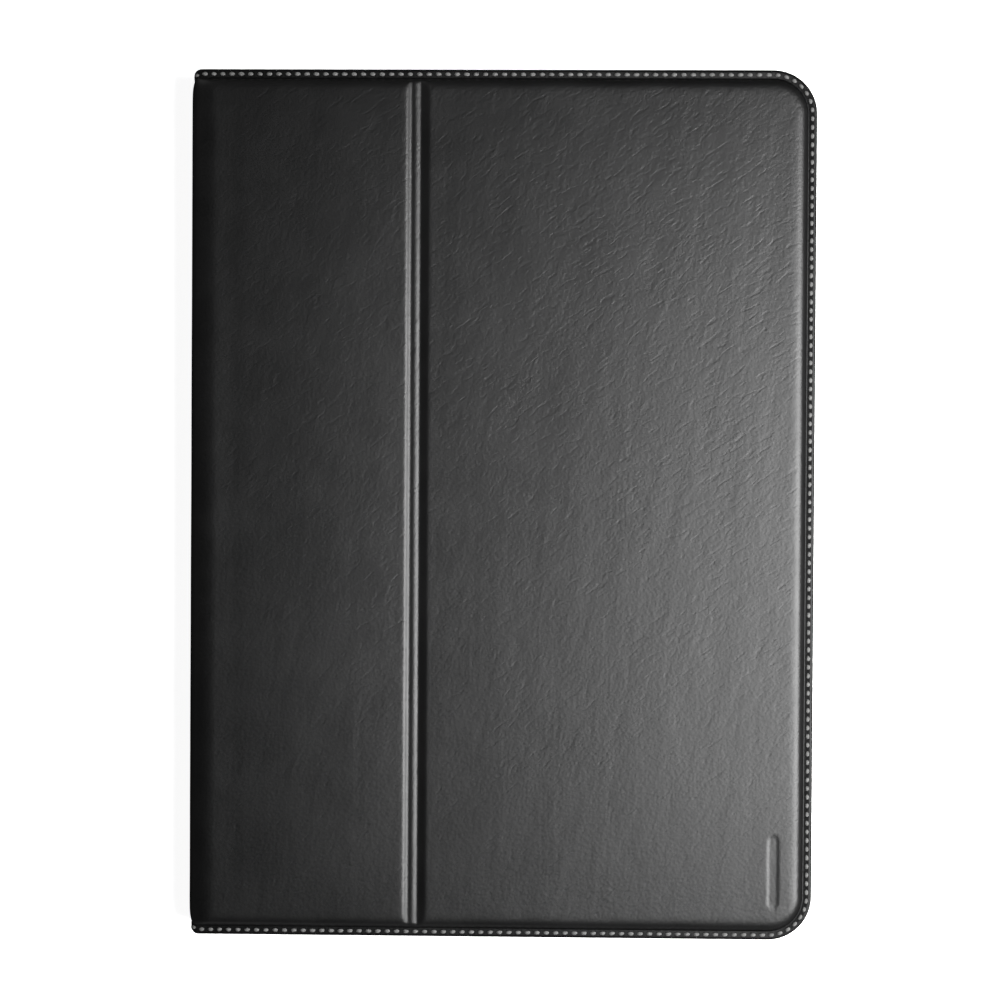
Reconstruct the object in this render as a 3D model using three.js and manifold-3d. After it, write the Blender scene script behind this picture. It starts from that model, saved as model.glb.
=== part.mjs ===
// A folio case for a tablet of about 9.7 inches, lying closed on its back cover.
//
// One sheet of leather wraps the back cover, the spine and the front cover, and the front
// cover has a sewn fold line a third of the way across, so it divides into a narrow hinge
// panel and a wide front panel. Each cover is a stiff board with foam over it, and its skin
// slopes down round the foam to a thin sewn edge. A moulded tray on the inside of the back
// cover holds the tablet by its corners. Folded right round, the front cover makes a prop
// behind the tray, and its free edge tucks under a flap on the back.
//
// Millimetres. X runs from the spine to the free edge, Y up the long side of the case, Z out
// of the front cover. The origin is under the middle of the case, on the surface it lies on.

import * as THREE from 'three';
import { mergeVertices } from 'three/addons/utils/BufferGeometryUtils.js';
import Module from 'manifold-3d';

const wasm = await Module();
wasm.setup();

// ---- Driving dimensions ----

// The tablet that the tray takes.
const TABLET = { width: 169.5, height: 240, thickness: 7.5, cornerRadius: 11 };

// The closed case, and how round its corners are on the free side and by the spine.
const CASE = { width: 178.5, height: 248, freeRadius: 12.5, spineRadius: 3 };

// Thickness of each layer.
const LAYER = {
  skin: 0.8,
  lining: 0.5,
  board: 1.3,
  frontPadding: 1.1,
  backPadding: 1.5,
  bond: 0.3,
  trayBase: 1.1,
  trayPad: 0.3,
};

// Air that every loose fit keeps.
const GAP = 0.3;

// The thin sewn edge round a cover, the slope that rises from it, and the thread along it.
const EDGE = { flange: 2.6, slope: 1.6, slopeSteps: 3 };
const THREAD = { inset: 1.1, width: 0.6, height: 0.25 };

// The fold line across the front cover: where it bends, where the padding ends on either
// side, and the raised bead that is pressed along it.
const CREASE = {
  x: -22.6,
  hingeSide: -26.2,
  frontSide: -21.0,
  halfSlot: 0.5,
  beadX: -24.7,
  beadRadius: 1.1,
  beadSink: 0.1,
  beadEnd: 4,
};

// The spine: how far its leather stops short of the corners it folds about, and how much
// shorter than the covers it is at each end.
const SPINE = { foldInset: 1.0, boardInset: 3.0, endInset: 1.5, boardEnd: 4.5, board: 0.8 };

// The moulded tray: wall, clearance round the tablet, corner grips with their lips, and the
// low rim between them.
const TRAY = {
  wall: 1.3,
  play: 0.2,
  grip: 38,
  lip: 1.8,
  lipPlay: 0.1,
  lipThickness: 1.0,
  lowRim: 1.6,
  fromFreeEdge: 2.85,
};

// The opening for the rear camera, measured in from the tablet's corner.
const CAMERA = { inX: 8.9, inY: 12.5, radius: 6.5, collar: 1.2 };

// The flap on the back that the front cover's free edge tucks under. It lies in a recess.
const FLAP = {
  foldX: 27,
  reach: 30,
  halfLength: 75,
  skin: 0.6,
  stiffener: 0.3,
  stiffenerInset: 2,
  lining: 0.4,
  recess: 1.5,
  hem: 4.6,
  hemGap: 0.6,
  radius: 6,
};

// Magnets in the front panel's board: three that hold the cover shut, and one that wakes the
// tablet.
const MAGNET = { radius: 5, thickness: 1.0, x: 78, rows: [-70, 0, 70] };
const WAKE_MAGNET = { radius: 3, x: 80, y: 30 };

// Adhesive pads between the tray and the back cover.
const BOND = { width: 52, height: 70, x: 42, y: 66, radius: 6 };

// How finely a corner and a round bar are divided.
const ARC_STEPS = 8;
const ROUND_STEPS = 28;

// How far a cutting block runs past the surface it cuts, and how far the blank of a panel
// runs past the level it is trimmed at.
const PAST = 1;
const BLANK = 10;

// Corners of a shape that lie closer together than this are one corner.
const WELD = 1e-5;

// ---- Levels and edges worked out from them ----

const halfWidth = CASE.width / 2;
const halfHeight = CASE.height / 2;

const backPaddingZ = LAYER.skin;
const backBoardZ = backPaddingZ + LAYER.backPadding;
const backLiningZ = backBoardZ + LAYER.board;
const bondZ = backLiningZ + LAYER.lining;
const trayZ = bondZ + LAYER.bond;
const trayPadZ = trayZ + LAYER.trayBase;
const tabletZ = trayPadZ + LAYER.trayPad;
const lipZ = tabletZ + TABLET.thickness + TRAY.lipPlay;
const trayTopZ = lipZ + TRAY.lipThickness;
const frontLiningZ = trayTopZ + GAP;
const frontBoardZ = frontLiningZ + LAYER.lining;
const frontPaddingZ = frontBoardZ + LAYER.board;
const frontSkinZ = frontPaddingZ + LAYER.frontPadding;
const topZ = frontSkinZ + LAYER.skin;

// How far a board, and the padding over it, stand in from the foot of the skin's slope.
const boardInset = LAYER.skin + GAP;
const paddingInset = boardInset + LAYER.skin + GAP;

const spineFaceX = -halfWidth + THREAD.height;
const spineBoardX = spineFaceX + LAYER.skin;
const spineLiningX = spineBoardX + SPINE.board;
const spineInsideX = spineLiningX + LAYER.lining;
const coverLeft = spineInsideX + GAP;

const trayHalfWidth = TABLET.width / 2 + TRAY.play + TRAY.wall;
const trayHalfHeight = TABLET.height / 2 + TRAY.play + TRAY.wall;
const trayX = halfWidth - TRAY.fromFreeEdge - trayHalfWidth;
const trayRadius = TABLET.cornerRadius + TRAY.wall;
const cameraX = trayX + TABLET.width / 2 - CAMERA.inX;
const cameraY = TABLET.height / 2 - CAMERA.inY;

// ---- Shapes ----

// A rectangle with its two corners on the free side rounded by one radius, and the two by the
// spine rounded by another. `half` is half its size along Y.
function outline(left, right, half, freeRadius, spineRadius) {
  const shape = new THREE.Shape();
  const corner = (x, y, radius, quarter) => {
    const start = (quarter * Math.PI) / 2;
    if (radius > 0) shape.absarc(x, y, radius, start, start + Math.PI / 2);
  };
  shape.moveTo(left + spineRadius, -half);
  shape.lineTo(right - freeRadius, -half);
  corner(right - freeRadius, -half + freeRadius, freeRadius, -1);
  shape.lineTo(right, half - freeRadius);
  corner(right - freeRadius, half - freeRadius, freeRadius, 0);
  shape.lineTo(left + spineRadius, half);
  corner(left + spineRadius, half - spineRadius, spineRadius, 1);
  shape.lineTo(left, -half + spineRadius);
  corner(left + spineRadius, -half + spineRadius, spineRadius, 2);
  return shape;
}

// A flat plate of that outline from one level to another.
function plate(shape, from, to) {
  const geometry = new THREE.ExtrudeGeometry(shape, {
    depth: to - from,
    bevelEnabled: false,
    curveSegments: ARC_STEPS,
  });
  return geometry.translate(0, 0, from);
}

// A plate whose upper and lower rims are rounded off inward.
function roundedPlate(shape, from, to, round) {
  const geometry = new THREE.ExtrudeGeometry(shape, {
    depth: to - from - 2 * round,
    bevelEnabled: true,
    bevelThickness: round,
    bevelSize: round,
    bevelOffset: -round,
    bevelSegments: EDGE.slopeSteps,
    curveSegments: ARC_STEPS,
  });
  return geometry.translate(0, 0, from + round);
}

function block(x0, x1, y0, y1, z0, z1) {
  const geometry = new THREE.BoxGeometry(x1 - x0, y1 - y0, z1 - z0);
  return geometry.translate((x0 + x1) / 2, (y0 + y1) / 2, (z0 + z1) / 2);
}

// A round bar standing along Z.
function disc(x, y, radius, from, to) {
  const geometry = new THREE.CylinderGeometry(radius, radius, to - from, ROUND_STEPS);
  return geometry.rotateX(Math.PI / 2).translate(x, y, (from + to) / 2);
}

// A round bar lying along Y.
function rod(x, z, radius, halfLength) {
  const geometry = new THREE.CylinderGeometry(radius, radius, 2 * halfLength, ROUND_STEPS);
  return geometry.translate(x, 0, z);
}

// ---- Joining and cutting ----

function toSolid(geometry) {
  const bare = geometry.clone();
  bare.deleteAttribute('normal');
  bare.deleteAttribute('uv');
  const merged = mergeVertices(bare, WELD);
  return new wasm.Manifold(
    new wasm.Mesh({
      numProp: 3,
      vertProperties: new Float32Array(merged.attributes.position.array),
      triVerts: new Uint32Array(merged.index.array),
    }),
  );
}

function toGeometry(solid) {
  const mesh = solid.getMesh();
  const geometry = new THREE.BufferGeometry();
  geometry.setAttribute('position', new THREE.BufferAttribute(new Float32Array(mesh.vertProperties), 3));
  geometry.setIndex(new THREE.BufferAttribute(new Uint32Array(mesh.triVerts), 1));
  geometry.computeVertexNormals();
  return geometry;
}

function cut(solid, geometries) {
  return geometries.map(toSolid).reduce((whole, piece) => whole.subtract(piece), solid);
}

// ---- The assembly ----

const tabletCase = new THREE.Group();

const FINISH = {
  leather: { color: 0x1c1c1e, roughness: 0.48, metalness: 0 },
  lining: { color: 0x2b2c2f, roughness: 0.95, metalness: 0 },
  foam: { color: 0x3a3a3c, roughness: 1, metalness: 0 },
  board: { color: 0x8b7d68, roughness: 0.9, metalness: 0 },
  thread: { color: 0xb9b9b6, roughness: 0.8, metalness: 0 },
  moulding: { color: 0x141416, roughness: 0.4, metalness: 0 },
  adhesive: { color: 0xd9d6c8, roughness: 0.7, metalness: 0 },
  magnet: { color: 0xa9abae, roughness: 0.3, metalness: 1 },
};

function add(name, geometry, finish) {
  const mesh = new THREE.Mesh(geometry, new THREE.MeshStandardMaterial(FINISH[finish]));
  mesh.name = name;
  tabletCase.add(mesh);
}

// ---- Cover layers ----

// The parts of a cover, from the sewn edge inward. `sides` says how far the cover runs and
// which of its edges are sewn; a side that isn't sewn ends at the padding itself.
const backSides = {
  left: coverLeft,
  right: halfWidth,
  padLeft: coverLeft,
  padRight: halfWidth - EDGE.flange,
};
const hingeSides = {
  left: coverLeft,
  right: CREASE.x - CREASE.halfSlot,
  padLeft: coverLeft,
  padRight: CREASE.hingeSide,
};
const frontSides = {
  left: CREASE.x + CREASE.halfSlot,
  right: halfWidth,
  padLeft: CREASE.frontSide,
  padRight: halfWidth - EDGE.flange,
};

// The outline of one layer of a cover from `left` to `right`, `inset` in from the case's edge:
// round at the free edge, slightly round by the spine, and square at the fold line.
function coverOutline(left, right, inset, spineRadius = CASE.spineRadius) {
  const free = right > halfWidth / 2 ? CASE.freeRadius - inset : 0;
  const spine = left < -halfWidth / 2 ? spineRadius : 0;
  return outline(left, right, halfHeight - inset, free, spine);
}

// The outline of a board or a pad inside a skin, with `inset` more round all four sides.
function insideOutline(sides, inset) {
  const left = sides.padLeft + inset;
  const right = sides.padRight - inset;
  return coverOutline(left, right, EDGE.flange + inset, CASE.spineRadius - LAYER.skin);
}

// A block as wide and as high as any layer, between two levels.
function slab(from, to) {
  return block(-CASE.width, CASE.width, -CASE.height, CASE.height, from, to);
}

// A cover's skin: the sewn edge, and the hollow rounded panel that stands up from it, or down
// from it on the back. The sewn edge lies from `edgeZ` to `edgeZ` plus a skin, and the padded
// face is at `faceZ`.
function coverSkin(sides, edgeZ, faceZ) {
  const up = faceZ > edgeZ ? 1 : -1;
  const boardSide = up > 0 ? edgeZ : edgeZ + LAYER.skin;
  const boardTop = boardSide + up * LAYER.board;
  const padTop = faceZ - up * LAYER.skin;
  const root = boardSide - up * BLANK;
  const inOrder = (from, to) => [Math.min(from, to), Math.max(from, to)];
  const panel = roundedPlate(insideOutline(sides, 0), ...inOrder(root, faceZ), EDGE.slope);
  const trim = slab(...inOrder(root - up * PAST, boardSide));
  const flange = plate(coverOutline(sides.left, sides.right, 0), edgeZ, edgeZ + LAYER.skin);
  const boardRoom = plate(insideOutline(sides, LAYER.skin), ...inOrder(boardSide - up * PAST, boardTop));
  const padRoom = plate(insideOutline(sides, boardInset + LAYER.skin), ...inOrder(boardTop, padTop));
  return cut(cut(toSolid(panel), [trim]).add(toSolid(flange)), [boardRoom, padRoom]);
}

function cameraHole(radius, from, to) {
  return disc(cameraX, cameraY, radius, from, to);
}

// The room that the tray's camera collar needs through the layers of the back cover.
const collarRadius = CAMERA.radius + CAMERA.collar;
const collarRoom = cameraHole(collarRadius + GAP, -PAST, trayZ);

// The recess that the flap lies in, grown by a wall all round.
function recessBlock(wall, from, to) {
  return block(
    FLAP.foldX - FLAP.reach - GAP * 2 - wall,
    FLAP.foldX + FLAP.hemGap + FLAP.hem + GAP + wall,
    -FLAP.halfLength - GAP * 2 - wall,
    FLAP.halfLength + GAP * 2 + wall,
    from,
    to,
  );
}

function makeBackCover() {
  const around = toSolid(recessBlock(LAYER.skin, 0, backBoardZ));
  const dished = coverSkin(backSides, backLiningZ - LAYER.skin, 0).add(around);
  const skin = cut(dished, [recessBlock(0, -PAST, FLAP.recess), collarRoom]);
  add('back_skin', toGeometry(skin), 'leather');

  const padding = toSolid(plate(insideOutline(backSides, paddingInset), backPaddingZ, backBoardZ));
  const recessRoom = recessBlock(boardInset, 0, backBoardZ + PAST);
  add('back_padding', toGeometry(cut(padding, [recessRoom, collarRoom])), 'foam');

  const board = toSolid(plate(insideOutline(backSides, boardInset), backBoardZ, backLiningZ));
  add('back_board', toGeometry(cut(board, [collarRoom])), 'board');

  const lining = toSolid(plate(coverOutline(coverLeft, halfWidth, 0), backLiningZ, bondZ));
  add('back_lining', toGeometry(cut(lining, [collarRoom])), 'lining');

  add('back_seam', seam(coverLeft, halfWidth, backLiningZ - LAYER.skin - THREAD.height), 'thread');
}

// The thread along the sewn edge of a cover that reaches the free edge: one U-shaped band,
// open at the side towards the spine.
function seam(left, right, from) {
  const beyondLeft = left - CASE.spineRadius - PAST;
  const inset = THREAD.inset + THREAD.width;
  const outer = coverOutline(beyondLeft, right - THREAD.inset, THREAD.inset);
  const inner = coverOutline(beyondLeft - PAST, right - inset, inset);
  const open = block(left - CASE.width, left + GAP, -CASE.height, CASE.height, from - PAST, from + PAST);
  const band = toSolid(plate(outer, from, from + THREAD.height));
  return toGeometry(cut(band, [plate(inner, from - PAST, from + PAST), open]));
}

function makeFrontCover() {
  const beadZ = frontBoardZ + LAYER.skin - CREASE.beadSink;
  const bead = rod(CREASE.beadX, beadZ, CREASE.beadRadius, halfHeight - CREASE.beadEnd);
  const hinge = coverSkin(hingeSides, frontBoardZ, topZ).add(toSolid(bead));
  add('hinge_panel_skin', toGeometry(cut(hinge, [slab(0, frontBoardZ)])), 'leather');
  add('front_panel_skin', toGeometry(coverSkin(frontSides, frontBoardZ, topZ)), 'leather');

  for (const [name, sides] of [['hinge_panel', hingeSides], ['front_panel', frontSides]]) {
    const padding = plate(insideOutline(sides, paddingInset), frontPaddingZ, frontSkinZ);
    add(`${name}_padding`, padding, 'foam');
    const lining = plate(coverOutline(sides.left, sides.right, 0), frontLiningZ, frontBoardZ);
    add(`${name}_lining`, lining, 'lining');
  }

  const hingeBoard = plate(insideOutline(hingeSides, boardInset), frontBoardZ, frontPaddingZ);
  add('hinge_panel_board', hingeBoard, 'board');

  const board = toSolid(plate(insideOutline(frontSides, boardInset), frontBoardZ, frontPaddingZ));
  const pockets = MAGNET.rows.map((y) => magnetPocket(MAGNET.x, y, MAGNET.radius));
  pockets.push(magnetPocket(WAKE_MAGNET.x, WAKE_MAGNET.y, WAKE_MAGNET.radius));
  add('front_panel_board', toGeometry(cut(board, pockets)), 'board');
  MAGNET.rows.forEach((y, i) => {
    add(`closure_magnet_${i + 1}`, magnetDisc(MAGNET.x, y, MAGNET.radius), 'magnet');
  });
  add('wake_magnet', magnetDisc(WAKE_MAGNET.x, WAKE_MAGNET.y, WAKE_MAGNET.radius), 'magnet');

  const seamZ = frontBoardZ + LAYER.skin;
  add('front_panel_seam', seam(frontSides.left, halfWidth, seamZ), 'thread');
  for (const [name, side] of [['hinge_panel_seam_top', 1], ['hinge_panel_seam_bottom', -1]]) {
    const y = side * (halfHeight - THREAD.inset - THREAD.width / 2);
    const strip = block(
      coverLeft + CASE.spineRadius,
      hingeSides.right - GAP,
      y - THREAD.width / 2,
      y + THREAD.width / 2,
      seamZ,
      seamZ + THREAD.height,
    );
    add(name, strip, 'thread');
  }
}

function magnetDisc(x, y, radius) {
  return disc(x, y, radius, frontBoardZ, frontBoardZ + MAGNET.thickness);
}

// The hole that a magnet sits in, right through the board.
function magnetPocket(x, y, radius) {
  return disc(x, y, radius + GAP / 2, frontBoardZ - PAST, frontPaddingZ + PAST);
}

function makeSpine() {
  const half = halfHeight - SPINE.endInset;
  const low = SPINE.foldInset;
  const high = topZ - SPINE.foldInset;
  add('spine_skin', block(spineFaceX, spineBoardX, -half, half, low, high), 'leather');
  add(
    'spine_board',
    block(
      spineBoardX,
      spineLiningX,
      -halfHeight + SPINE.boardEnd,
      halfHeight - SPINE.boardEnd,
      SPINE.boardInset,
      topZ - SPINE.boardInset,
    ),
    'board',
  );
  add(
    'spine_lining',
    block(spineLiningX, spineInsideX, -half, half, SPINE.boardInset, topZ - SPINE.boardInset),
    'lining',
  );
  for (const [name, side] of [['spine_seam_top', 1], ['spine_seam_bottom', -1]]) {
    const y = side * (half - THREAD.inset);
    add(
      name,
      block(-halfWidth, spineFaceX, y - THREAD.width / 2, y + THREAD.width / 2, low + GAP, high - GAP),
      'thread',
    );
  }
}

// The flap, its thin stiffener and its lining, which all turn about the fold line, and the
// hem beyond the fold line, which is sewn down to the back cover.
function makeTuckFlap() {
  const free = FLAP.foldX - FLAP.reach;
  const end = FLAP.foldX - GAP;
  const liningZ = FLAP.skin + FLAP.stiffener;
  const layers = [
    ['tuck_flap_skin', 0, FLAP.skin, 0, 'leather'],
    ['tuck_flap_stiffener', FLAP.skin, liningZ, FLAP.stiffenerInset, 'board'],
    ['tuck_flap_lining', liningZ, liningZ + FLAP.lining, 0, 'lining'],
  ];
  for (const [name, from, to, inset, finish] of layers) {
    const shape = outline(free + inset, end, FLAP.halfLength - inset, 0, FLAP.radius - inset);
    add(name, plate(shape, from, to), finish);
  }
  add(
    'tuck_flap_hem',
    block(
      FLAP.foldX + FLAP.hemGap,
      FLAP.foldX + FLAP.hemGap + FLAP.hem,
      -FLAP.halfLength,
      FLAP.halfLength,
      0,
      FLAP.recess,
    ),
    'leather',
  );
}

// A plate with the tray's outline, `inset` in from it all round.
function trayPlate(inset, from, to) {
  const left = trayX - trayHalfWidth + inset;
  const right = trayX + trayHalfWidth - inset;
  const radius = trayRadius - inset;
  return plate(outline(left, right, trayHalfHeight - inset, radius, radius), from, to);
}

function makeTray() {
  const rimZ = trayPadZ + TRAY.lowRim;
  const gripX = trayHalfWidth - TRAY.grip;
  const gripY = trayHalfHeight - TRAY.grip;
  const hollow = cut(toSolid(trayPlate(0, trayZ, trayTopZ)), [
    trayPlate(TRAY.wall, trayPadZ, lipZ),
    trayPlate(TRAY.wall + TRAY.lip, lipZ - TRAY.lipPlay, trayTopZ + PAST),
    block(trayX - gripX, trayX + gripX, -CASE.height, CASE.height, rimZ, trayTopZ + PAST),
    block(-CASE.width, CASE.width, -gripY, gripY, rimZ, trayTopZ + PAST),
  ]);
  const collar = toSolid(cameraHole(collarRadius, GAP, trayPadZ));
  const tray = cut(hollow.add(collar), [cameraHole(CAMERA.radius, -PAST, trayPadZ + PAST)]);
  add('tablet_tray', toGeometry(tray), 'moulding');

  const pad = toSolid(trayPlate(TRAY.wall + GAP, trayPadZ, tabletZ));
  add('tray_pad', toGeometry(cut(pad, [cameraHole(CAMERA.radius, 0, tabletZ + PAST)])), 'lining');

  const bondShape = outline(-BOND.width / 2, BOND.width / 2, BOND.height / 2, BOND.radius, BOND.radius);
  const corners = [[-1, -1], [1, -1], [-1, 1], [1, 1]];
  corners.forEach(([sideX, sideY], i) => {
    const bondPad = plate(bondShape, bondZ, trayZ).translate(sideX * BOND.x, sideY * BOND.y, 0);
    add(`tray_bond_pad_${i + 1}`, bondPad, 'adhesive');
  });
}

makeBackCover();
makeTuckFlap();
makeSpine();
makeFrontCover();
makeTray();

export default tabletCase;
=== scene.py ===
"""A folio case for a tablet, lying closed on its back cover: what shows of it, in metres.

Lengths inside this script are in millimetres, and turn into metres where a mesh is made.
X runs from the spine to the free edge, Y along the spine, Z out of the front cover.
"""

import math

import bpy
import numpy as np
from mathutils import Matrix, Vector, noise


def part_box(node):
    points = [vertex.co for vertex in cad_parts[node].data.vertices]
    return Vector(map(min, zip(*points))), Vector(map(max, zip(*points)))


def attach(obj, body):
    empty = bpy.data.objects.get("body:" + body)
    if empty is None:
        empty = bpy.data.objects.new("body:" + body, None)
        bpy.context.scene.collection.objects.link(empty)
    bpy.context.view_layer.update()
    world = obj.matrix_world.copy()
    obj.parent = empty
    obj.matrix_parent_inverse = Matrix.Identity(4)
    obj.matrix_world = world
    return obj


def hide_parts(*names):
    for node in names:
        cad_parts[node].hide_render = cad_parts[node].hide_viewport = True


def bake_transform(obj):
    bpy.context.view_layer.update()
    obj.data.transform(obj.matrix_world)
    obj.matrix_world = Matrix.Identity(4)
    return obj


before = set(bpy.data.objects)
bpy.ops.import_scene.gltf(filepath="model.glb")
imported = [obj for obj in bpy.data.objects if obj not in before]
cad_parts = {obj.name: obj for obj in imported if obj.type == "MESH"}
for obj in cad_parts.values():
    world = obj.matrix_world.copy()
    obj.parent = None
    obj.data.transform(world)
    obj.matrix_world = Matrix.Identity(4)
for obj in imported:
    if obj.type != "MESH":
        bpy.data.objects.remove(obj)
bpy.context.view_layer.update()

MM = 0.001

# ---- Sizes that the frame gives ----


def millimetres(node):
    low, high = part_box(node)
    return np.array(low) / MM, np.array(high) / MM


front_high = millimetres("front_panel_skin")[1]
spine_low, spine_high = millimetres("spine_skin")
lining_low, lining_high = millimetres("front_panel_lining")
flap_low, flap_high = millimetres("tuck_flap_skin")
hem_high = millimetres("tuck_flap_hem")[1]

FREE_EDGE = front_high[0]
HALF = front_high[1]
TOP = front_high[2]
CORNER = 12.5
MID_HEIGHT = TOP / 2

# ---- How the leather is worked ----

SKIN = 0.8
FRONT_EDGE_Z = 16.0
BACK_EDGE_Z = 2.8

# The padding's foot and the width of its shoulder, in from the sewn edge, and how far the
# edge dips there below its own rim.
FOOT = 2.6
SHOULDER = 3.6
DIP = 0.25
# Share of the padding's height at each distance in from the edge.
SHOULDER_LINE = (
    (2.0, -0.45),
    (2.9, 0.3),
    (3.25, 0.58),
    (3.8, 0.77),
    (4.5, 0.87),
    (5.3, 0.945),
    (6.2, 0.985),
    (7.2, 1.0),
)
# The fold line across the front cover: how far the leather sinks below the padded face.
# It comes down from the hinge panel, runs out in a low ridge, and rises to the front panel.
FOLD_LINE = (
    (-28.6, 0.0),
    (-27.7, 0.07),
    (-27.2, 0.22),
    (-26.6, 0.58),
    (-26.2, 0.74),
    (-25.9, 0.76),
    (-25.35, 0.67),
    (-25.0, 0.63),
    (-24.6, 0.66),
    (-24.0, 0.79),
    (-23.7, 0.91),
    (-23.35, 0.98),
    (-20.9, 0.05),
    (-20.3, 0.01),
    (-19.2, 0.0),
)
FOLD_MIDDLE = -24.6

# A cut edge is rounded off over this width, by this much.
RIM_ROUND = 0.8
RIM_DROP = 0.42
# The sewn edge is flat from here to the padding's foot, and stands this far proud of its level.
RIM_FLAT = 0.9
EDGE_PROUD = 0.08
# Middle of the stitches, in from the sewn edge.
SEAM_INSET = 1.4
# How far the foam lifts the middle of a front panel.
CROWN = 0.3

# The spine's leather takes over from the cover's here, and bends over this stretch.
JOIN_X = -79.0
# How far it stands out past the board's leather where it is padded, how much less it does so
# at the sewn ends, and how far it is drawn in where the rim drops.
SPINE_BULGE = 0.3
SPINE_PUFF = 0.6
SPINE_DRAWN_IN = 0.4
# Radii of its rounded corners, along X and Z: at the sewn ends, and where it is padded.
SPINE_CORNER_SEWN = (2.0, 2.0)
SPINE_CORNER_PADDED = (8.0, 5.0)
# Radius at the four ends of its long edges, seen from the front.
SPINE_END_ROUND = 3.0
SPINE_BOARD = 0.8

# The plain pressed mark in the corner: centre, half width and half length.
MARK = {"x": 78.1, "y": -104.1, "half_width": 1.4, "half_length": 10.2, "depth": 0.16}

CAMERA_HOLE = {"x": 76.0, "y": 107.5, "skin": 8.0, "pad": 6.8}

# ---- Mesh tools ----

# Depth of a tool that cuts through any piece of the case.
THROUGH = 60.0
# Faces that meet at a sharper angle than this, in degrees, keep their edge.
SHARP = 42.0


def graded(*stops):
    """Coordinates through (position, step from there on), ending at the last position."""
    values = [stops[0][0]]
    for (start, step), (end, _) in zip(stops, stops[1:]):
        count = max(1, round((end - start) / step))
        values.extend(start + (end - start) * (i + 1) / count for i in range(count))
    return np.array(values)


def mirrored(values):
    """Coordinates on both sides of 0, from those on its positive side."""
    return np.concatenate([-values[::-1][: len(values) - (values[0] == 0)], values])


def pull_corners(xs, ys, corners):
    """Grid points whose square corners are drawn in to arcs.

    A corner is (x side, y side, radius).
    """
    x, y = np.meshgrid(xs, ys, indexing="ij")
    for side_x, side_y, radius in corners:
        centre_x = xs[-1] - radius if side_x > 0 else xs[0] + radius
        centre_y = ys[-1] - radius if side_y > 0 else ys[0] + radius
        u, v = side_x * (x - centre_x), side_y * (y - centre_y)
        within = (u > 0) & (v > 0)
        far, near = np.maximum(u, v), np.minimum(u, v)
        turn = math.pi / 4 * near / np.where(within, far, 1)
        turn = np.where(v > u, math.pi / 2 - turn, turn)
        x = np.where(within, centre_x + side_x * far * np.cos(turn), x)
        y = np.where(within, centre_y + side_y * far * np.sin(turn), y)
    return x, y


def in_from_edge(x, y, x0, x1, half, right_radius, left_radius):
    """Distance inward from the outline of a rectangle with rounded corners."""
    middle = (x0 + x1) / 2
    radius = np.where(x > middle, right_radius, left_radius)
    across = np.where(x > middle, x - (x1 - radius), (x0 + radius) - x)
    along = np.abs(y) - (half - radius)
    outside = np.hypot(np.maximum(across, 0), np.maximum(along, 0))
    return radius - outside - np.minimum(np.maximum(across, along), 0)


def in_from_case(x, y):
    """Distance inward from the case's sewn edges: top, free side and bottom."""
    return in_from_edge(x, y, -10 * HALF, FREE_EDGE, HALF, CORNER, 0.0)


def highest(a, b, soften):
    """The higher of two heights, with the corner between them rounded."""
    share = np.clip(0.5 + 0.5 * (a - b) / soften, 0, 1)
    return b + (a - b) * share + soften * share * (1 - share)


def eased(value, start, end):
    t = np.clip((value - start) / (end - start), 0, 1)
    return t * t * (3 - 2 * t)


def make_mesh(name, points, faces, sharp=SHARP):
    mesh = bpy.data.meshes.new(name)
    mesh.from_pydata((np.asarray(points, float) * MM).tolist(), [], faces)
    mesh.validate()
    mesh.shade_smooth()
    mesh.set_sharp_from_angle(angle=math.radians(sharp))
    made = bpy.data.objects.new(name, mesh)
    bpy.context.scene.collection.objects.link(made)
    return made


def kept_lines(values, step, bends):
    """Numbers of every step-th grid line, the lines nearest to the bends, and both ends."""
    nearest = [int(np.argmin(np.abs(values - bend))) for bend in bends]
    return sorted({0, len(values) - 1, *range(0, len(values), step), *nearest})


def shell(name, face, under, keep_i=None, keep_j=None, turned=False):
    """A closed sheet between two grids of points.

    keep_i and keep_j are the grid lines that the underside keeps away from its rim.
    turned is for a sheet whose face looks down.
    """
    ni, nj = face.shape[:2]
    keep_i = keep_i or list(range(ni))
    keep_j = keep_j or list(range(nj))
    face_id = np.arange(ni * nj).reshape(ni, nj)
    under_id = np.full((ni, nj), -1)
    rim = np.zeros((ni, nj), bool)
    rim[[0, -1], :] = True
    rim[:, [0, -1]] = True
    rim[np.ix_(keep_i, keep_j)] = True
    under_id[rim] = ni * nj + np.arange(rim.sum())
    points = np.concatenate([face.reshape(-1, 3), under[rim]])

    corners = [face_id[:-1, :-1], face_id[1:, :-1], face_id[1:, 1:], face_id[:-1, 1:]]
    faces = np.stack(corners, -1).reshape(-1, 4).tolist()
    for i0, i1 in zip(keep_i, keep_i[1:]):
        for j0, j1 in zip(keep_j, keep_j[1:]):
            low = range(i0, i1) if j0 == 0 else [i0]
            right = range(j0, j1) if i1 == ni - 1 else [j0]
            high = range(i1, i0, -1) if j1 == nj - 1 else [i1]
            left = range(j1, j0, -1) if i0 == 0 else [j1]
            loop = [under_id[i, j0] for i in low] + [under_id[i1, j] for j in right]
            loop += [under_id[i, j1] for i in high] + [under_id[i0, j] for j in left]
            faces.append([int(v) for v in reversed(loop)])
    ring = [(i, 0) for i in range(ni - 1)] + [(ni - 1, j) for j in range(nj - 1)]
    ring += [(i, nj - 1) for i in range(ni - 1, 0, -1)] + [(0, j) for j in range(nj - 1, 0, -1)]
    for a, b in zip(ring, ring[1:] + ring[:1]):
        faces.append([int(v) for v in (under_id[a], under_id[b], face_id[b], face_id[a])])
    if turned:
        faces = [list(reversed(loop)) for loop in faces]
    return make_mesh(name, points, faces)


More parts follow.
